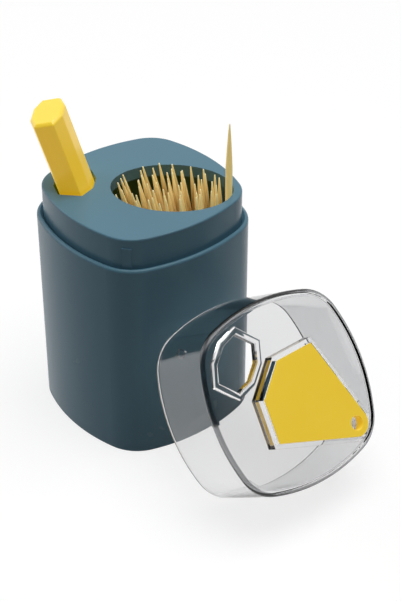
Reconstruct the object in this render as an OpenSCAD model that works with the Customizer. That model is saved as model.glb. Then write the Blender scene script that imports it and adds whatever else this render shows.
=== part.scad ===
// Toothpick dispenser with its clear cover taken off and leaned against the cup.
// Origin: middle of the foot, on the surface it stands on. +Z up.
// The stick hole and the exit hole lie on the diagonal from (-X,-Y) to (+X,+Y).

/* [Outline] */
// Width of the cup between the middles of two opposite sides
body_w = 55; // [50:0.5:64]
// Radius of the bulging sides, seen from above
side_r = 53; // [45:0.5:70]
// Radius of the rounded corners, seen from above
corner_r = 13; // [10:0.5:16]

/* [Cup] */
// Height of the cup up to its rim
cup_h = 64; // [58:0.5:70]
// Thickness of the cup's wall above the seat ledge
cup_wall = 1.8; // [1.4:0.1:2.2]
// Extra wall thickness below the ledge that carries the top plate
ledge_w = 0.9; // [0.6:0.1:1.2]
// Height of the inner floor above the surface the cup stands on
floor_at = 8.7; // [8:0.1:13]
// Thickness of the inner floor
floor_t = 2; // [1.5:0.1:3]
// Radius of the rounded edge on the outside of the rim
rim_round = 0.8; // [0.4:0.1:1.2]
// Size of the chamfer round the inner floor
floor_round = 1; // [0.5:0.1:2]
// Size of the lead-in chamfer on the inside of the rim
rim_lead = 0.8; // [0.4:0.1:1]
// Radius of the rounded edge round the foot
foot_round = 0.3; // [0.2:0.1:1.2]

/* [Top plate] */
// Height of the neck from the cup's rim to the face of the plate
neck_h = 9; // [7:0.5:12]
// Depth of the skirt that plugs into the cup
plug_h = 10; // [8:0.5:14]
// Gap all round between the plug and the cup
plug_fit = 0.1; // [0.05:0.01:0.15]
// Thickness of the plate
plate_t = 2; // [1.5:0.1:2.5]
// Thickness of the neck's wall
neck_wall = 1.5; // [1.2:0.1:2]
// Radius of the edge round the plate
plate_round = 0.5; // [0.3:0.1:0.8]
// Length of the oval opening, along the diagonal
opening_l = 35.2; // [30:0.2:36]
// Width of the oval opening, across the diagonal
opening_w = 26; // [24.8:0.2:28]
// Distance from the middle of the plate to the middle of the opening
opening_at = 8.7; // [8.4:0.1:8.9]
// Depth of the lip under the opening, from the face of the plate
lip_h = 3.6; // [2.8:0.1:5]
// Thickness of that lip
lip_t = 1.5; // [1.4:0.1:1.8]
// Width of the key rib on the neck's front corner
key_w = 2.6; // [1.5:0.1:3]
// How far the key rib stands out from the neck
key_proud = 0.3; // [0.2:0.05:0.5]
// Height of the key rib above the cup's rim
key_h = 6.2; // [4:0.1:7]
// How far the key rib reaches down into the notch in the rim
key_drop = 1.4; // [1:0.1:2]

/* [Pocket case] */
// Width of the case along the diagonal
case_w = 9.5; // [9:0.1:10]
// Width of the case across the diagonal
case_d = 12.9; // [12:0.1:13.4]
// Length of the flats on the case's narrow ends
case_end_flat = 5.6; // [5:0.1:6.4]
// Length of the flats on the case's long sides
case_side_flat = 5; // [4.6:0.1:6]
// Length of the closed case
case_l = 90.2; // [86:0.1:92]
// Length of its cap
cap_l = 30; // [28:0.5:34]
// Thickness of the case's walls
case_wall = 1.2; // [1:0.1:1.5]
// Length of the spigot that the cap slides over
spigot_l = 6; // [4:0.5:8]
// Thickness of the case's floor
case_floor = 1.5; // [1:0.1:3]
// Size of the chamfer round the ends of the case
case_chamfer = 0.8; // [0.3:0.1:1]
// Distance from the middle of the plate to the middle of the stick hole
case_at = 19.3; // [19:0.1:19.6]
// Gap all round between the case and the hole in the plate
case_gap = 1; // [0.9:0.05:1.1]
// How far the standing case leans outwards along the diagonal, in degrees
lean_out = 14; // [10:0.5:15]
// How far it leans towards the front corner, in degrees
lean_front = 8; // [3:0.5:8]

/* [Cover] */
// Height of the cover from its rim to its face
cover_h = 24; // [21:0.2:26]
// How far the cover's sides lie in from the sides of the cup
cover_inset = 0.38; // [0.18:0.1:0.48]
// Thickness of the cover's walls and face
cover_wall = 1.2; // [1:0.1:1.2]
// How much each side of the cover draws in from the rim to the face
cover_draft = 0.4; // [0.3:0.1:0.6]
// Size of the small chamfers round the cover's rim and inside its face
rim_soft = 0.4; // [0.2:0.1:0.7]
// Radius of the edge round the face
cover_round = 1.5; // [0.8:0.1:2]
// Gap all round between the case and the hole in the cover
cover_gap = 0.7; // [0.5:0.05:0.8]
// Width of the raised collar round the stick hole
collar_w = 1.9; // [1.5:0.1:2.1]
// Height of the raised collar above the face
collar_h = 1; // [0.6:0.1:1.4]
// Width of the square stop nubs inside two corners
nub_w = 2; // [1.5:0.1:2.5]
// How far the nubs stand in from the wall
nub_in = 1.6; // [1.2:0.1:2]
// Angle that the leaning cover's rim makes with the surface it stands on
cover_tilt = 55; // [50:0.5:60]
// How far the cover stands along the side of the cup from its middle
cover_shift = 3.2; // [0:0.1:6]
// Gap between the leaning cover and the cup
cover_rest_gap = 0.4; // [0.2:0.05:0.5]

/* [Hopper] */
// Half the length of the hopper's straight end
hopper_end = 5.85; // [5:0.1:6.5]
// Half the width of the hopper at its widest
hopper_wide = 15; // [13:0.1:15.4]
// Where the straight end lies, from the middle of the cover towards the stick hole
hopper_back = 7.4; // [7:0.1:7.5]
// Where the hopper is widest, from the middle towards the exit hole
hopper_mid = 1.2; // [0:0.1:2.5]
// Where the exit hole lies, from the middle of the cover
exit_at = 23.4; // [23:0.1:23.8]
// Radius of the rounded end round the exit hole
exit_end_r = 3.9; // [3.6:0.1:4]
// Width of the exit hole
exit_d = 4.2; // [3.2:0.1:4.4]
// Thickness of the hopper's face
hopper_t = 1.8; // [1.4:0.1:2.2]
// Thickness of the hopper's side walls
hopper_wall = 1.2; // [1:0.1:1.4]
// Depth of the hopper
hopper_h = 4; // [3:0.1:5]
// Gap all round between the hopper and its socket
hopper_gap = 0.1; // [0.05:0.01:0.15]
// Thickness of the socket's wall under the face of the cover
socket_wall = 1.3; // [1:0.1:1.5]
// Thickness of the socket's lip, under the hopper
socket_lip_t = 0.6; // [0.5:0.1:0.8]
// Width of that lip
socket_lip_w = 0.7; // [0.6:0.1:1]

/* [Toothpicks] */
// Length of a toothpick
pick_l = 65; // [62:0.5:67]
// Width of a toothpick
pick_d = 2; // [1.8:0.05:2.1]
// Length of each of its two points
pick_point = 10; // [6:0.5:14]
// Width of the blunt tip
tip_d = 0.4; // [0.2:0.05:0.6]
// Distance between the feet of neighbouring picks in the bundle
pick_pitch = 2.2; // [2.15:0.01:2.3]
// How much further apart the picks are at the top, along the diagonal
fan_along = 2.33; // [2.2:0.01:2.4]
// Length of the bundle's foot, along the diagonal
bundle_l = 13.4; // [12:0.1:13.6]
// Width of the bundle, across the diagonal
bundle_w = 23; // [21:0.1:23.4]
// Where the middle of the bundle's foot lies along the diagonal
bundle_foot_at = 17.6; // [17:0.1:17.8]
// Where the middle of the bundle's top lies along the diagonal
bundle_top_at = 7.5; // [7:0.1:7.7]
// How far the raised toothpick stands above the plate
raised_by = 21.5; // [15:0.5:26]
// Gap between the raised toothpick and the end of the opening
raised_gap = 0.3; // [0.2:0.05:0.4]

/* [Hidden] */
$fn = 96;
// A little more than nothing, for cuts that run past a face
eps = 0.05;
teal = "#5f7f8b";
clear = "#d9dde0";
yellow = "#e3c33f";
wood = "#dcb56a";

half_w = body_w / 2;
// Middles of the side arcs lie this far beyond the axis, and the corner arcs' at (corner_c, corner_c)
side_c = half_w - side_r;
arc_gap = side_r - corner_r;
corner_c = (side_c + sqrt(2 * arc_gap * arc_gap - side_c * side_c)) / 2;
// Angle at which a side arc runs into a corner arc
join_angle = atan2(corner_c, corner_c - side_c);
corner_reach = corner_c * sqrt(2) + corner_r;

neck_inset = cup_wall + plug_fit;
plate_z = cup_h + neck_h;
ledge_z = cup_h - plug_h;
opening_end = opening_at + opening_l / 2;

// The case's axis, from the stick hole in the plate downwards
lean_x = -tan(lean_out);
lean_y = -tan(lean_front);
lean_len = sqrt(1 + lean_x * lean_x + lean_y * lean_y);
case_lean = acos(1 / lean_len);
case_turn = atan2(lean_y, lean_x);
// How much lower than its middle the edge of the leaning foot reaches, and its gap to the floor
foot_drop = (abs(lean_x) * case_w + abs(lean_y) * case_end_flat) / 2;
case_rest = 0.3;
case_below = (plate_z - floor_at - case_rest - foot_drop / lean_len) * lean_len;

pick_rise = pick_l - raised_by;

function arc(r, from, to, n) = [for (i = [0 : n]) let (t = from + (to - from) * i / n) r * [cos(t), sin(t)]];
// Eight-sided outline of the case, grown by some distance
function octagon(grow) = let (
    x = case_w / 2, y = case_d / 2, fx = case_end_flat / 2, fy = case_side_flat / 2,
    cut = norm([x - fx, y - fy]), nx = (y - fy) / cut, ny = (x - fx) / cut,
    gx = fx + grow * (1 - ny) / nx, gy = fy + grow * (1 - nx) / ny, hx = x + grow, hy = y + grow)
    [[hx, -gy], [hx, gy], [gx, hy], [-gx, hy], [-hx, gy], [-hx, -gy], [-gx, -hy], [gx, -hy]];
function oval(l, w, n = 64) = [for (i = [0 : n - 1]) [l / 2 * cos(360 * i / n), w / 2 * sin(360 * i / n)]];
// Quarter of a rounded edge in a wall's profile: centre, radius and the angle it starts at
function edge(c, r, from) = [for (p = arc(r, from, from + 90, 5)) c + p];

// Fills the rounded square. The profile runs up the outside, as the distance out
// from the outline and the height of each of its points.
module filled(profile) {
    low = profile[0].y;
    high = profile[len(profile) - 1].y;
    // The side pieces start a little past the axis, so that all of them overlap there
    inner = -side_c - 5;
    for (q = [0 : 3]) rotate(90 * q) {
        translate([side_c, 0, 0]) rotate(-join_angle)
            rotate_extrude(angle = 2 * join_angle, $fn = 180)
                polygon(concat([[inner, high], [inner, low]], [for (p = profile) p + [side_r, 0]]));
        translate([corner_c, corner_c, 0]) rotate(join_angle)
            rotate_extrude(angle = 90 - 2 * join_angle, $fn = 120)
                polygon(concat([[0, high], [0, low]], [for (p = profile) p + [corner_r, 0]]));
    }
}

module along_diagonal() { rotate(45) children(); }

module outer_cup() {
    low_wall = cup_wall + ledge_w;
    color(teal) difference() {
        filled(concat(
            edge([-foot_round, foot_round], foot_round, -90),
            edge([-rim_round, cup_h - rim_round], rim_round, 0)));
        filled([[-low_wall - floor_round, floor_at], [-low_wall, floor_at + floor_round],
            [-low_wall, ledge_z], [-cup_wall, ledge_z], [-cup_wall, cup_h - rim_lead],
            [-cup_wall + rim_lead, cup_h], [-cup_wall + rim_lead, cup_h + eps]]);
        filled([[-low_wall, -eps], [-low_wall, floor_at - floor_t]]);
        key_slot();
    }
}

// Notch in the rim for the key rib, at the front corner
module key_slot() {
    slack = 0.25;
    rotate(-45) translate([corner_reach - neck_inset - eps, -key_w / 2 - slack, cup_h - key_drop - slack])
        cube([key_proud + slack + eps, key_w + 2 * slack, key_drop + slack + eps]);
}

module top_plate() {
    inset = neck_inset;
    color(teal) difference() {
        union() {
            difference() {
                filled(concat([[-inset, ledge_z]],
                    edge([-inset - plate_round, plate_z - plate_round], plate_round, 0)));
                filled([[-inset - neck_wall, ledge_z - eps], [-inset - neck_wall, plate_z - plate_t]]);
            }
            along_diagonal() translate([opening_at, 0, plate_z - lip_h])
                linear_extrude(lip_h - plate_t / 2) polygon(oval(opening_l + 2 * lip_t, opening_w + 2 * lip_t));
            rotate(-45) translate([corner_reach - inset - neck_wall / 2, -key_w / 2, cup_h - key_drop])
                cube([neck_wall / 2 + key_proud, key_w, key_drop + key_h]);
        }
        along_diagonal() {
            translate([opening_at, 0, plate_z - lip_h - eps])
                linear_extrude(lip_h + 2 * eps) polygon(oval(opening_l, opening_w));
            translate([-case_at, 0, plate_z - plate_t - eps])
                linear_extrude(plate_t + 2 * eps) polygon(octagon(case_gap));
        }
    }
}

// Outline of the hopper, grown by some distance
function hopper_points(grow) = let (
    back = -hopper_back, mid = hopper_mid,
    slope = norm([mid - back, hopper_wide - hopper_end]),
    bx = (hopper_wide - hopper_end) / slope, by = (mid - back) / slope,
    reach = norm([exit_at - mid, hopper_wide]),
    // Direction in which the long side faces: it runs on into the rounded end
    side = 90 - acos((exit_at - mid) / reach) + asin(exit_end_r / reach),
    sx = cos(side), sy = sin(side),
    // Lines through the corners, moved out by the growth
    k1 = -bx * back + by * hopper_end + grow,
    k2 = sx * mid + sy * hopper_wide + grow,
    wx = (k2 * by - k1 * sy) / (sx * by + bx * sy),
    wy = (k1 + bx * wx) / by,
    ey = (k1 + bx * (back - grow)) / by)
    concat([[back - grow, -ey], [back - grow, ey], [wx, wy]],
        [for (p = arc(exit_end_r + grow, side, -side, 16)) p + [exit_at, 0]], [[wx, -wy]]);

module hopper_outline(grow) { polygon(hopper_points(grow)); }

// The cover stands in its own frame here: rim at z = 0, face up
module cover_shell() {
    draft = cover_inset + cover_draft;
    top = cover_h;
    under = cover_h - cover_wall;
    difference() {
        filled(concat([[-cover_inset - rim_soft, 0], [-cover_inset, rim_soft]],
            edge([-draft - cover_round, top - cover_round], cover_round, 0)));
        filled([[-cover_inset - cover_wall, -eps], [-cover_inset - cover_wall, 0],
            [-draft - cover_wall, under - rim_soft], [-draft - cover_wall - rim_soft, under]]);
    }
}

module stop_nubs() {
    // The nubs come to rest on the plate when the cover is on
    z = plate_z - cup_h + 0.1;
    x = corner_reach - cover_inset - cover_wall - cover_draft * (z + nub_w) / cover_h;
    for (side = [0, 180]) rotate(side) translate([x - nub_in, -nub_w / 2, z])
        cube([nub_in + cover_wall / 2, nub_w, nub_w]);
}

module cover() {
    socket = hopper_gap + socket_wall;
    socket_z = cover_h - hopper_h - socket_lip_t;
    color(clear) leaned() difference() {
        union() {
            cover_shell();
            along_diagonal() {
                stop_nubs();
                translate([-case_at, 0, cover_h - cover_wall / 2])
                    linear_extrude(cover_wall / 2 + collar_h) polygon(octagon(cover_gap + collar_w));
                translate([0, 0, socket_z]) linear_extrude(cover_h - socket_z - cover_wall / 2)
                    hopper_outline(socket);
            }
        }
        along_diagonal() {
            translate([-case_at, 0, cover_h - cover_wall - eps])
                linear_extrude(cover_wall + collar_h + 2 * eps) polygon(octagon(cover_gap));
            translate([0, 0, cover_h - hopper_h]) linear_extrude(hopper_h + eps) hopper_outline(hopper_gap);
            translate([0, 0, socket_z - eps]) linear_extrude(hopper_h + 2 * eps)
                hopper_outline(hopper_gap - socket_lip_w);
        }
    }
}

// Puts the cover and what it carries where they lie: tipped on one side
// of the rim, with the opposite side against the cup
module leaned() {
    half = half_w - cover_inset;
    translate([half_w + cover_rest_gap + half * cos(cover_tilt), cover_shift, half * sin(cover_tilt)])
        rotate([0, cover_tilt, 0]) children();
}

module exit_hopper() {
    color(yellow) leaned() along_diagonal() difference() {
        translate([0, 0, cover_h - hopper_h]) linear_extrude(hopper_h) hopper_outline(0);
        translate([0, 0, cover_h - hopper_h - eps]) linear_extrude(hopper_h - hopper_t + eps)
            hopper_outline(-hopper_wall);
        translate([exit_at, 0, cover_h - hopper_t - eps]) cylinder(h = hopper_t + 2 * eps, d = exit_d);
    }
}

// Stands the case in the stick hole: z = 0 at the plate's face, +z up along the case
module standing_case() {
    along_diagonal() translate([-case_at, 0, plate_z])
        rotate([0, 0, case_turn]) rotate([0, case_lean, 0]) rotate([0, 0, -case_turn]) children();
}

module bar(grow, z, h) { translate([0, 0, z]) linear_extrude(h) polygon(octagon(grow)); }

// Eight-sided bar with its end drawn in by a chamfer; up is 1 for the top end and -1 for the foot
module chamfered_end(z, up) {
    hull() {
        bar(0, z - (up > 0 ? eps : 0), eps);
        bar(-case_chamfer, z + up * case_chamfer - (up > 0 ? eps : 0), eps);
    }
}

module case_body() {
    foot = -case_below;
    seam = foot + case_l - cap_l;
    fit = 0.1;
    color(yellow) standing_case() difference() {
        union() {
            chamfered_end(foot + case_chamfer, -1);
            bar(0, foot + case_chamfer, seam - foot - case_chamfer);
            bar(-case_wall / 2 - fit, seam - eps, spigot_l + eps);
        }
        bar(-case_wall, foot + case_floor, case_l);
    }
}

module case_cap() {
    top = case_l - case_below;
    seam = top - cap_l;
    seat = 0.1;
    color(yellow) standing_case() difference() {
        union() {
            bar(0, seam + seat, cap_l - case_chamfer - seat);
            chamfered_end(top - case_chamfer, 1);
        }
        bar(-case_wall, seam, cap_l - 2 * case_wall);
        bar(-case_wall / 2, seam - eps, spigot_l + 2 * seat + eps);
    }
}

module toothpick() {
    body_l = pick_l - 2 * pick_point;
    cylinder(h = pick_point, d1 = tip_d, d2 = pick_d, $fn = 24);
    translate([0, 0, pick_point]) cylinder(h = body_l, d = pick_d, $fn = 24);
    translate([0, 0, pick_point + body_l]) cylinder(h = pick_point, d1 = pick_d, d2 = tip_d, $fn = 24);
}

// A toothpick from a foot at one point towards a top at another
module pick_between(foot, top) {
    d = top - foot;
    translate(foot) rotate([0, acos(d.z / norm(d)), atan2(d.y, d.x)]) toothpick();
}

module case_toothpicks() {
    floor_z = -case_below + case_floor + 0.1;
    gap = 0.25;
    step = pick_d + gap;
    color(wood) standing_case() for (i = [-1 : 1], j = [-1 : 1])
        if (abs(i) + abs(j) < 2) translate([i * step, j * step, floor_z]) toothpick();
}

// Feet of the bundle in a hexagonal pattern that fills an oval. The tops fan
// out along the diagonal, and each pick stands at its own height.
module toothpicks() {
    step = pick_pitch * sqrt(3) / 2;
    places = [for (i = [-4 : 4], j = [-6 : 6])
        let (x = i * step, y = (j + (i % 2 == 0 ? 0 : 0.5)) * pick_pitch)
            if (norm([2 * x / bundle_l, 2 * y / bundle_w]) < 1) [x, y]];
    lift = rands(0, 1.8, len(places), 7);
    sway = rands(-1.2, 1.2, len(places), 11);
    foot_z = floor_at + 0.2;
    color(wood) along_diagonal() for (n = [0 : len(places) - 1]) {
        p = places[n];
        foot = [bundle_foot_at + p.x, p.y, foot_z];
        top = [bundle_top_at + p.x * fan_along + sway[n], p.y, foot_z + pick_l];
        along = (top - foot) / norm(top - foot);
        // The picks that lean most are held up a little by their neighbours
        rise = lift[n] + (1 - along.z) * pick_l / 2;
        pick_between(foot + along * rise, top + along * rise);
    }
}

module raised_toothpick() {
    color(wood) along_diagonal()
        translate([opening_end - raised_gap - pick_d / 2, 0, plate_z - pick_rise]) toothpick();
}

outer_cup();
top_plate();
cover();
exit_hopper();
case_body();
case_cap();
case_toothpicks();
toothpicks();
raised_toothpick();
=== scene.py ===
"""Toothpick dispenser, cover off: finishes, toothpicks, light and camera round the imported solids."""
import math

import bmesh
import bpy
import numpy as np
from mathutils import Matrix, Vector


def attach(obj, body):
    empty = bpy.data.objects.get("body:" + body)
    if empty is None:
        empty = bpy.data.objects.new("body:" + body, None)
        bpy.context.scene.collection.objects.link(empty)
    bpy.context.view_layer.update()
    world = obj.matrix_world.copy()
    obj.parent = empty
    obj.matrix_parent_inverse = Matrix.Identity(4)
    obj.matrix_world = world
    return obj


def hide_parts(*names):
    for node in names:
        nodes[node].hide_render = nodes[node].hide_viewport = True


MM = 0.001
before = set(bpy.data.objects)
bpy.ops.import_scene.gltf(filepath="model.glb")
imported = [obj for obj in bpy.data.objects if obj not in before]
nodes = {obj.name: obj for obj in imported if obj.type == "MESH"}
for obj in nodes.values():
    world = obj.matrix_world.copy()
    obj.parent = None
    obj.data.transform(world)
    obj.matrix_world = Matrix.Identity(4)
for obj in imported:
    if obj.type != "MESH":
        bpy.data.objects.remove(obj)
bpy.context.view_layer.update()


# ---------------------------------------------------------------- shader maths
class Wire:
    """An output socket. Sums and products of wires add Math nodes."""

    def __init__(self, finish, socket):
        self.finish, self.socket = finish, socket

    def _math(self, operation, first, second):
        return self.finish.node("ShaderNodeMath", {"operation": operation}, {0: first, 1: second})

    def __add__(self, other):
        return self._math("ADD", self, other)

    def __radd__(self, other):
        return self._math("ADD", other, self)

    def __mul__(self, other):
        return self._math("MULTIPLY", self, other)


class Finish:
    """A material, or the world, that is being wired up."""

    def __init__(self, owner):
        self.owner = owner
        owner.use_nodes = True
        self.tree = owner.node_tree
        self.tree.nodes.clear()

    def node(self, kind, settings=None, inputs=None, out=0):
        made = self.tree.nodes.new(kind)
        for name, value in (settings or {}).items():
            if name == "stops":
                ramp = made.color_ramp
                while len(ramp.elements) < len(value):
                    ramp.elements.new(0.5)
                for stop, (at, colour) in zip(ramp.elements, value):
                    stop.position, stop.color = at, colour
            else:
                setattr(made, name, value)
        for name, value in (inputs or {}).items():
            if isinstance(value, Wire):
                self.tree.links.new(value.socket, made.inputs[name])
            else:
                made.inputs[name].default_value = value
        return Wire(self, made.outputs[out])

    def noise(self, scale, detail, vector=None, roughness=0.5):
        vector = vector or self.node("ShaderNodeTexCoord", out="Object")
        return self.node("ShaderNodeTexNoise", {"noise_dimensions": "3D"},
                         {"Vector": vector, "Scale": scale, "Detail": detail, "Roughness": roughness})

    def painted(self, name, out="Fac"):
        """What a piece's own attribute says."""
        return self.node("ShaderNodeAttribute", {"attribute_name": name}, out=out)

    def ramp(self, value, *stops):
        return self.node("ShaderNodeValToRGB", {"stops": stops}, {0: value})

    def blend(self, share, first, second):
        """Mixes two colours. The Mix node's colour sockets have no names of their own."""
        return self.node("ShaderNodeMix", {"data_type": "RGBA"}, {0: share, 6: first, 7: second}, 2)

    def bump(self, height, strength, distance):
        return self.node("ShaderNodeBump", None, {"Height": height, "Strength": strength, "Distance": distance})

    def seen(self):
        """1 where the eye, a reflection or a view through the clear cover lands, 0 for the light itself."""
        eye, mirrored, through = (self.node("ShaderNodeLightPath", out=name)
                                  for name in ("Is Camera Ray", "Is Glossy Ray", "Is Transmission Ray"))
        larger = {"operation": "MAXIMUM"}
        either = self.node("ShaderNodeMath", larger, {0: mirrored, 1: through})
        return self.node("ShaderNodeMath", larger, {0: eye, 1: either})

    def mixed(self, share, first, second):
        return self.node("ShaderNodeMixShader", None, {0: share, 1: first, 2: second})

    def surface(self, shader):
        kind = "ShaderNodeOutputWorld" if isinstance(self.owner, bpy.types.World) else "ShaderNodeOutputMaterial"
        end = self.tree.nodes.new(kind)
        self.tree.links.new(shader.socket, end.inputs["Surface"])
        return self.owner


def linear(red, green, blue):
    """A colour read off a screen, 0 to 255, as the shader's linear one."""
    def one(v):
        v /= 255
        return v / 12.92 if v <= 0.04045 else ((v + 0.055) / 1.055) ** 2.4
    return (one(red), one(green), one(blue), 1.0)


def new_finish(name):
    return Finish(bpy.data.materials.new(name))


# ------------------------------------------------------------------- finishes
def teal_moulding():
    f = new_finish("teal_moulding")
    cloud = f.noise(60.0, 3.0)
    fine = f.noise(2600.0, 2.0)
    colour = f.blend(cloud * 0.3, linear(87, 126, 144), linear(94, 134, 151))
    return f.surface(f.node("ShaderNodeBsdfPrincipled", None, {
        "Base Color": colour, "Roughness": 0.26 + cloud * 0.02, "IOR": 1.5, "Specular IOR Level": 0.2,
        "Normal": f.bump(fine, 0.04, 0.00004)}))


def clear_moulding():
    f = new_finish("clear_moulding")
    haze = f.noise(180.0, 2.0)
    # Painted shade: the face's rounded edge is tinted darker, standing in for the dark look of light running
    # along the thick moulding there
    painted_shade_edge = f.painted("edge")
    tint = f.blend(painted_shade_edge, (0.83, 0.832, 0.836, 1.0), (0.1, 0.102, 0.107, 1.0))
    return f.surface(f.node("ShaderNodeBsdfPrincipled", None, {
        "Base Color": tint, "Roughness": 0.012 + haze * 0.012 + painted_shade_edge * 0.12, "IOR": 1.5,
        "Transmission Weight": 1.0, "Normal": f.bump(haze, 0.03, 0.00005)}))


# Painted glow: emitted colour that stands in for the light the yellow plastic and the wood let through from all
# sides
YELLOW_PAINTED_GLOW = (0.43, 0.24, 0.004, 1)
WOOD_PAINTED_GLOW = (0.33, 0.27, 0.11, 1)
BLACK, WHITE = (0, 0, 0, 1), (1, 1, 1, 1)


def yellow_moulding():
    f = new_finish("yellow_moulding")
    cloud = f.noise(90.0, 3.0)
    fine = f.noise(2200.0, 2.0)
    colour = f.blend(cloud, (0.6, 0.53, 0.065, 1), (0.65, 0.58, 0.085, 1))
    return f.surface(f.node("ShaderNodeBsdfPrincipled", None, {
        "Base Color": colour, "Roughness": 0.26 + cloud * 0.08, "IOR": 1.5,
        # Painted glow: the yellow plastic emits amber light of its own
        "Emission Color": YELLOW_PAINTED_GLOW, "Emission Strength": 1.0,
        "Subsurface Weight": 0.25, "Subsurface Radius": (0.004, 0.003, 0.001), "Subsurface Scale": 0.6,
        "Normal": f.bump(fine, 0.05, 0.00004)}))


def birch():
    f = new_finish("birch")
    grain = f.painted("grain", "Vector")
    streak = f.noise(1.0, 4.0, grain, 0.6)
    fibre = f.noise(3.2, 3.0, grain, 0.7)
    wood = f.blend(f.painted("tone"), linear(226, 196, 122), linear(240, 218, 158))
    wood = f.blend(f.ramp(streak, (0.42, BLACK), (0.72, WHITE)), wood, linear(214, 170, 92))
    wood = f.blend(f.painted("ends") * 0.8, wood, linear(254, 246, 214))
    return f.surface(f.node("ShaderNodeBsdfPrincipled", None, {
        "Base Color": wood, "Roughness": 0.52 + fibre * 0.2, "IOR": 1.45,
        # Painted glow: the wood emits light of its own, faded out low in the bundle as painted shade
        "Emission Color": f.blend(f.painted("glow"), BLACK, WOOD_PAINTED_GLOW), "Emission Strength": 1.0,
        "Subsurface Weight": 0.2, "Subsurface Radius": (0.0012, 0.0008, 0.0004), "Subsurface Scale": 0.5,
        "Normal": f.bump(fibre, 0.25, 0.00008)}))


TEAL, CLEAR, YELLOW, BIRCH = teal_moulding(), clear_moulding(), yellow_moulding(), birch()


def dress(node, finish):
    mesh = nodes[node].data
    mesh.materials.clear()
    mesh.materials.append(finish)


for finish, names in ((TEAL, ("outer_cup", "top_plate")), (CLEAR, ("cover",)),
                      (YELLOW, ("exit_hopper", "case_body", "case_cap")),
                      (BIRCH, ("case_toothpicks", "toothpicks", "raised_toothpick"))):
    for name in names:
        dress(name, finish)


# ------------------------------------------------- pieces with softened edges
def merged_copy(node):
    """A bmesh of a CAD node with its loose triangles joined."""
    bm = bmesh.new()
    bm.from_mesh(nodes[node].data)
    bmesh.ops.remove_doubles(bm, verts=bm.verts[:], dist=2e-6)
    bmesh.ops.dissolve_degenerate(bm, edges=bm.edges[:], dist=1e-6)
    return bm


def sharp_edges(bm, degrees):
    """The edges at which two faces turn by more than these degrees."""
    least = math.radians(degrees)
    return [e for e in bm.edges if len(e.link_faces) == 2 and e.calc_face_angle(0.0) > least]


def placed(bm, name, body, node, finish):
    """Puts a finished bmesh in the scene, in place of its CAD node."""
    mesh = bpy.data.meshes.new(name)
    bm.to_mesh(mesh)
    bm.free()
    mesh.materials.append(finish)
    piece = bpy.data.objects.new(name, mesh)
    bpy.context.scene.collection.objects.link(piece)
    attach(piece, body)
    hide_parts(node)
    return piece


CREASE = 30     # degrees


def placed_moulding(bm, name, body, node, finish):
    """A moulded piece, smooth except where it turns by more than a crease does."""
    for face in bm.faces:
        face.smooth = True
    for edge in sharp_edges(bm, CREASE):
        edge.smooth = False
    piece = placed(bm, name, body, node, finish)
    flat = piece.modifiers.new("flat_faces_stay_flat", "WEIGHTED_NORMAL")
    flat.keep_sharp = True


def softened(node, body, width):
    """A yellow CAD node's shape, its flat faces made whole and its sharp edges rounded over."""
    bm = merged_copy(node)
    bmesh.ops.dissolve_limit(bm, angle_limit=math.radians(0.5), verts=bm.verts[:], edges=bm.edges[:],
                             delimit=set())
    bmesh.ops.bevel(bm, geom=sharp_edges(bm, 20), offset=width, offset_type="OFFSET", segments=3,
                    profile=0.5, affect="EDGES", material=-1, clamp_overlap=True)
    placed_moulding(bm, node + "_moulding", body, node, YELLOW)


softened("case_cap", "cap", 0.7 * MM)
softened("case_body", "case", 0.6 * MM)
softened("exit_hopper", "cover", 0.2 * MM)


# ------------------------------------------------------------- the clear cover
# Sizes in mm, as in the part's source. The cover is made rim down and face up,
# and then laid where it leans.
HALF, SIDE_R, CORNER_R = 27.5, 53.0, 13.0
COVER_H, COVER_WALL, COVER_INSET, COVER_DRAFT, COVER_ROUND = 24.0, 1.2, 0.38, 0.4, 1.5
# Octagon of the stick: its place on the diagonal, its size and its flats
CASE_AT, CASE_W, CASE_D, CASE_END_FLAT, CASE_SIDE_FLAT = -19.3, 9.5, 12.9, 5.6, 5.0
COLLAR_IN, COLLAR_OUT, COLLAR_H = 0.7, 2.6, 1.0
# Hopper's outline, from its flat end over its widest place to its rounded end
HOPPER_BACK, HOPPER_END, HOPPER_MID, HOPPER_WIDE = -7.4, 5.85, 1.2, 15.0
EXIT_AT, EXIT_END_R, HOPPER_H = 23.4, 3.9, 4.0
SOCKET_GAP, SOCKET_OUT, LIP_IN, LIP_T = 0.1, 1.4, -0.6, 0.6
NUB_SIZE, NUB_AT, NUB_UP = (1.55, 2.0, 2.0), 28.05, 10.1
COVER_TILT, COVER_SHIFT, REST_GAP = math.radians(55), 3.2, 0.4

side_c = HALF - SIDE_R
gap = SIDE_R - CORNER_R
corner_c = (side_c + math.sqrt(2 * gap * gap - side_c * side_c)) / 2
join = math.atan2(corner_c, corner_c - side_c)


def octagon(grow):
    """The stick's eight-sided outline, grown by some distance."""
    x, y, fx, fy = CASE_W / 2, CASE_D / 2, CASE_END_FLAT / 2, CASE_SIDE_FLAT / 2
    cut = math.hypot(x - fx, y - fy)
    nx, ny = (y - fy) / cut, (x - fx) / cut
    gx, gy = fx + grow * (1 - ny) / nx, fy + grow * (1 - nx) / ny
    hx, hy = x + grow, y + grow
    return [(hx, -gy), (hx, gy), (gx, hy), (-gx, hy), (-hx, gy), (-hx, -gy), (-gx, -hy), (gx, -hy)]


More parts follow.
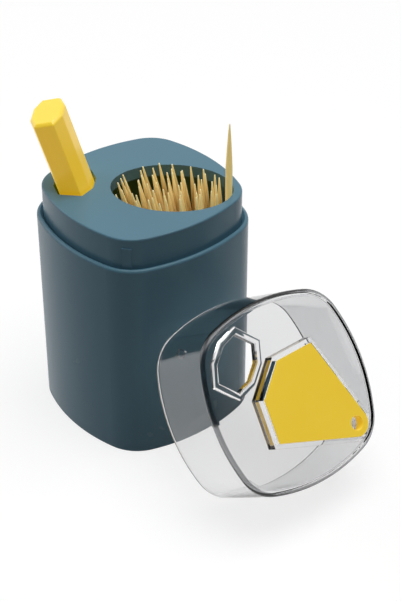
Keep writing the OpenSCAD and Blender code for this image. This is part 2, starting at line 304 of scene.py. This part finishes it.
def hopper_line(grow, steps=16):
    """The hopper's kite-shaped outline, grown by some distance."""
    rise, run = HOPPER_WIDE - HOPPER_END, HOPPER_MID - HOPPER_BACK
    slope = math.hypot(run, rise)
    bx, by = rise / slope, run / slope
    reach = math.hypot(EXIT_AT - HOPPER_MID, HOPPER_WIDE)
    side = math.pi / 2 - math.acos((EXIT_AT - HOPPER_MID) / reach) + math.asin(EXIT_END_R / reach)
    sx, sy = math.cos(side), math.sin(side)
    # The grown lines cross at the widest place and at the flat end
    back_line = -bx * HOPPER_BACK + by * HOPPER_END + grow
    side_line = sx * HOPPER_MID + sy * HOPPER_WIDE + grow
    wide_x = (side_line * by - back_line * sy) / (sx * by + bx * sy)
    wide_y = (back_line + bx * wide_x) / by
    end_y = (back_line + bx * (HOPPER_BACK - grow)) / by
    turn = [side - 2 * side * i / steps for i in range(steps + 1)]
    radius = EXIT_END_R + grow
    return ([(HOPPER_BACK - grow, -end_y), (HOPPER_BACK - grow, end_y), (wide_x, wide_y)]
            + [(EXIT_AT + radius * math.cos(t), radius * math.sin(t)) for t in turn]
            + [(wide_x, -wide_y)])


def loop_at(bm, outline, height, shift=0.0):
    """A closed line of edges across the cover, turned onto its diagonal."""
    c = math.sqrt(0.5)
    ring = [bm.verts.new((c * (x + shift - y), c * (x + shift + y), height)) for x, y in outline]
    return [bm.edges.new((a, b)) for a, b in zip(ring, ring[1:] + ring[:1])]


def bridged(bm, loops):
    """Joins each closed line of edges to the next."""
    for low, high in zip(loops, loops[1:]):
        bmesh.ops.bridge_loops(bm, edges=low + high)


def spun_wall(bm, profile):
    """Carries a line of points, as (inwards, up), once round the rounded square."""
    line = [bm.verts.new((side_c + (SIDE_R - d) * math.cos(join), -(SIDE_R - d) * math.sin(join), z))
            for d, z in profile]
    geom = line + [bm.edges.new(pair) for pair in zip(line, line[1:])]
    for quarter in range(4):
        turn = Matrix.Rotation(quarter * math.pi / 2, 3, "Z")
        for centre, angle, steps in (((side_c, 0, 0), 2 * join, 18),
                                     ((corner_c, corner_c, 0), math.pi / 2 - 2 * join, 14)):
            geom = bmesh.ops.spin(bm, geom=geom, cent=turn @ Vector(centre), axis=(0, 0, 1), dvec=(0, 0, 0),
                                  angle=angle, steps=steps, use_merge=False)["geom_last"]
    bmesh.ops.remove_doubles(bm, verts=bm.verts[:], dist=0.002)


def open_rim(bm, height):
    """The open edges of the wall at one height."""
    return [e for e in bm.edges if e.is_boundary and all(abs(v.co.z - height) < 0.01 for v in e.verts)]


def wall_profile(top, under, soft):
    """The wall's cross-section: from under the face down the inside, round the rim and up the outside."""
    outer, inner = COVER_INSET + COVER_DRAFT, COVER_INSET + COVER_DRAFT + COVER_WALL
    foot = COVER_INSET + COVER_WALL
    turn = [math.radians(t) for t in range(0, 91, 10)]
    inside = [(inner + soft, under)]
    inside += [(inner + soft - math.sin(t), under - soft + math.cos(t)) for t in turn[1:]]
    rim = [(foot + 0.2, 0.2), (foot, 0.05), (foot - 0.25, 0.0),
           (COVER_INSET + 0.4, 0.0), (COVER_INSET + 0.12, 0.12), (COVER_INSET, 0.4)]
    outside = [(outer + COVER_ROUND * (1 - math.cos(t)), top - COVER_ROUND + COVER_ROUND * math.sin(t))
               for t in turn]
    return inside + rim + outside


def stop_nub(bm, side):
    """A square nub inside one of two corners."""
    nub = bmesh.ops.create_cube(bm, size=1.0)["verts"]
    bmesh.ops.scale(bm, vec=NUB_SIZE, verts=nub)
    bmesh.ops.rotate(bm, cent=(0, 0, 0), matrix=Matrix.Rotation(math.pi / 4, 3, "Z"), verts=nub)
    corner = side * math.sqrt(0.5) * NUB_AT
    bmesh.ops.translate(bm, vec=(corner, corner, NUB_UP), verts=nub)


def cover_moulding():
    bm = bmesh.new()
    top, under = COVER_H, COVER_H - COVER_WALL
    spun_wall(bm, wall_profile(top, under, 1.0))
    # Painted shade: marks the face's rounded edge, which the clear finish tints darker
    edge = bm.verts.layers.float.new("edge")
    for v in bm.verts:
        v[edge] = float(under + 0.1 < v.co.z < top - 0.04)
    # Collar round the stick's hole, up its outside, over and down to the inner face
    collar = [loop_at(bm, octagon(grow), height, CASE_AT) for grow, height in (
        (COLLAR_OUT, top), (2.55, top + 0.5), (2.25, top + 0.87), (1.9, top + COLLAR_H), (1.4, top + COLLAR_H),
        (1.05, top + 0.87), (0.75, top + 0.5), (COLLAR_IN, top), (COLLAR_IN, under))]
    # Socket of the hopper, from the face down to its lip and back up outside
    deep = top - HOPPER_H
    socket = [loop_at(bm, hopper_line(grow), height) for grow, height in (
        (SOCKET_GAP, top), (SOCKET_GAP, deep), (LIP_IN, deep), (LIP_IN, deep - LIP_T),
        (SOCKET_OUT, deep - LIP_T), (SOCKET_OUT, under))]
    bmesh.ops.triangle_fill(bm, use_beauty=True, edges=open_rim(bm, top) + collar[0] + socket[0])
    bmesh.ops.triangle_fill(bm, use_beauty=True, edges=open_rim(bm, under) + collar[-1] + socket[-1])
    bridged(bm, collar)
    bridged(bm, socket)
    bmesh.ops.recalc_face_normals(bm, faces=bm.faces[:])
    bmesh.ops.bevel(bm, geom=sharp_edges(bm, 35), offset=0.15, offset_type="OFFSET", segments=2,
                    profile=0.5, affect="EDGES", material=-1, clamp_overlap=True)
    for side in (1, -1):
        stop_nub(bm, side)
    half = HALF - COVER_INSET
    rest = ((HALF + REST_GAP + half * math.cos(COVER_TILT)) * MM, COVER_SHIFT * MM,
            half * math.sin(COVER_TILT) * MM)
    lie = Matrix.Translation(rest) @ Matrix.Rotation(COVER_TILT, 4, "Y") @ Matrix.Scale(MM, 4)
    bmesh.ops.transform(bm, matrix=lie, verts=bm.verts[:])
    placed_moulding(bm, "cover_moulding", "cover", "cover", CLEAR)


cover_moulding()


# ------------------------------------------------------------------ toothpicks
def pick_axes(node):
    """Foot and top of every toothpick in a CAD node."""
    bm = bmesh.new()
    bm.from_mesh(nodes[node].data)
    bmesh.ops.remove_doubles(bm, verts=bm.verts[:], dist=1e-6)
    seen, found = set(), []
    for first in bm.verts:
        if first in seen:
            continue
        island, wave = [], [first]
        seen.add(first)
        while wave:
            v = wave.pop()
            island.append(v.co[:])
            for e in v.link_edges:
                w = e.other_vert(v)
                if w not in seen:
                    seen.add(w)
                    wave.append(w)
        points, near = np.array(island), 0.3 * MM
        low = points[points[:, 2] < points[:, 2].min() + near].mean(0)
        high = points[points[:, 2] > points[:, 2].max() - near].mean(0)
        found.append((Vector(low), Vector(high)))
    bm.free()
    return sorted(found, key=lambda p: (round(p[0].x, 5), round(p[0].y, 5)))


PICK_RADIUS, PICK_POINT, TIP_RADIUS, PALE_END, MOST_BOW = 1.0 * MM, 14 * MM, 0.2 * MM, 2.2 * MM, 0.25
# Height over which a toothpick's painted glow comes in, out of the painted shade of its neighbours
FADE = 9 * MM


def one_pick(length, width, point, tip):
    """A round, double-pointed toothpick along +Z, with soft blunt tips."""
    bm = bmesh.new()
    blunt = 0.45 * MM
    half = [(tip * 0.55, 0.0), (tip * 0.9, 0.12 * MM), (tip, blunt)]
    half += [(tip + (width - tip) * t * (1.3 - 0.3 * t), blunt + t * (point - blunt))
             for t in (0.12, 0.25, 0.4, 0.55, 0.7, 0.85, 1.0)]
    outline = half + [(r, length - z) for r, z in reversed(half)]
    line = [bm.verts.new((r, 0, z)) for r, z in outline]
    edges = [bm.edges.new(pair) for pair in zip(line, line[1:])]
    bmesh.ops.spin(bm, geom=line + edges, angle=2 * math.pi, steps=16, axis=(0, 0, 1), cent=(0, 0, 0),
                   use_merge=True)
    bmesh.ops.remove_doubles(bm, verts=bm.verts[:], dist=1e-7)
    bmesh.ops.holes_fill(bm, edges=[e for e in bm.edges if e.is_boundary])
    bmesh.ops.recalc_face_normals(bm, faces=bm.faces[:])
    for face in bm.faces:
        face.smooth = True
    mesh = bpy.data.meshes.new("pick_pattern")
    bm.to_mesh(mesh)
    bm.free()
    return mesh


def bundle(name, node, body, seed, shade_from=-1.0):
    """Toothpicks on the CAD node's axes, each with its own tone and grain. Below
    the height given, their painted glow fades out, as painted shade where their neighbours keep the light from
    them."""
    random = np.random.default_rng(seed)
    bm = bmesh.new()
    tone = bm.verts.layers.float.new("tone")
    ends = bm.verts.layers.float.new("ends")
    glow = bm.verts.layers.float.new("glow")
    grain = bm.verts.layers.float_vector.new("grain")
    for foot, top in pick_axes(node):
        length = (top - foot).length
        pattern = one_pick(length, PICK_RADIUS, PICK_POINT, TIP_RADIUS)
        start = len(bm.verts)
        bm.from_mesh(pattern)
        bm.verts.ensure_lookup_table()
        shade, shift = random.uniform(), random.uniform(0, 50)
        bow = random.uniform(-MOST_BOW, MOST_BOW, 2) * MM
        turn = (top - foot).to_track_quat("Z", "Y").to_matrix().to_4x4()
        for v in bm.verts[start:]:
            x, y, z = v.co
            share = z / length
            v[tone] = shade
            v[ends] = max(0.0, 1 - min(share, 1 - share) * length / PALE_END)
            v[grain] = (x / MM * 1.6 + shift, y / MM * 1.6, z / MM * 0.12)
            bend = 4 * share * (1 - share)
            v.co.x += bow[0] * bend
            v.co.y += bow[1] * bend
        bmesh.ops.transform(bm, matrix=Matrix.Translation(foot) @ turn, verts=bm.verts[start:])
        # Painted shade: the painted glow fades out below shade_from, where neighbours keep the light away
        for v in bm.verts[start:]:
            v[glow] = min(1.0, max(0.0, (v.co.z - shade_from) / FADE))
        bpy.data.meshes.remove(pattern)
    placed(bm, name, body, node, BIRCH)


bundle("pick_bundle", "toothpicks", "dispenser", 3, 65.5 * MM)
bundle("spare_picks", "case_toothpicks", "case", 5)
bundle("drawn_pick", "raised_toothpick", "pick", 8)


# ------------------------------------------------------------- light and camera
def soft_light(name, place, aim, side, power):
    data = bpy.data.lights.new(name, "AREA")
    data.shape, data.size, data.energy = "SQUARE", side, power
    lamp = bpy.data.objects.new(name, data)
    bpy.context.scene.collection.objects.link(lamp)
    place, aim = Vector(place), Vector(aim)
    lamp.location = place
    lamp.rotation_mode = "QUATERNION"
    lamp.rotation_quaternion = (aim - place).to_track_quat("-Z", "Y")


def white_floor():
    bm = bmesh.new()
    bmesh.ops.create_circle(bm, cap_ends=True, segments=64, radius=0.6)
    mesh = bpy.data.meshes.new("floor")
    bm.to_mesh(mesh)
    bm.free()
    floor = bpy.data.objects.new("floor", mesh)
    bpy.context.scene.collection.objects.link(floor)
    f = new_finish("white_sweep")
    # It throws little light back, and what is seen of it is a white that keeps a soft shadow
    bounce = f.node("ShaderNodeBsdfDiffuse", None, {"Color": (0.18, 0.18, 0.18, 1)})
    cast = f.node("ShaderNodeBsdfDiffuse", None, {"Color": (0.9, 0.9, 0.9, 1)})
    glow = f.node("ShaderNodeEmission", None, {"Color": WHITE, "Strength": 1.12})
    shown = f.mixed(0.68, cast, glow)
    mesh.materials.append(f.surface(f.mixed(f.seen(), bounce, shown)))


def studio():
    """A white background for the eye. Reflections and the clear cover see white
    behind the object and dark on the viewer's side, and the room itself gives little light."""
    world = bpy.data.worlds.new("studio")
    bpy.context.scene.world = world
    f = Finish(world)
    where = f.node("ShaderNodeTexCoord", out="Generated")
    behind = f.node("ShaderNodeVectorMath", {"operation": "DOT_PRODUCT"}, {0: where, 1: (-0.64, 0.51, 0.3)},
                    out="Value")
    bright = f.ramp(behind * 0.5 + 0.5, (0.5, (0.05, 0.052, 0.055, 1)), (0.7, WHITE))
    eye = f.node("ShaderNodeLightPath", out="Is Camera Ray")
    white, seen, room = (f.node("ShaderNodeBackground", None, {"Color": colour, "Strength": strength})
                         for colour, strength in ((WHITE, 1.0), (bright, 1.0), ((0.95, 0.98, 1.0, 1), 0.055)))
    f.surface(f.mixed(eye, f.mixed(f.seen(), room, seen), white))
    soft_light("top_box", (0.1, 0.12, 1.0), (0.02, 0, 0.05), 0.8, 8.6)
    soft_light("left_box", (-0.74, -0.52, 0.42), (0, 0, 0.04), 0.95, 3.4)


def camera():
    data = bpy.data.cameras.new("view")
    data.lens, data.sensor_width = 92.37, 36.0
    data.clip_start, data.clip_end = 0.01, 20
    eye = bpy.data.objects.new("view", data)
    bpy.context.scene.collection.objects.link(eye)
    eye.location = Vector((306.98, -223.05, 297.46)) * MM
    eye.rotation_mode = "QUATERNION"
    eye.rotation_quaternion = Vector((-0.64165, 0.51108, -0.57191)).to_track_quat("-Z", "Y")
    bpy.context.scene.camera = eye


bpy.context.scene.view_settings.view_transform = "Standard"
white_floor()
studio()
camera()
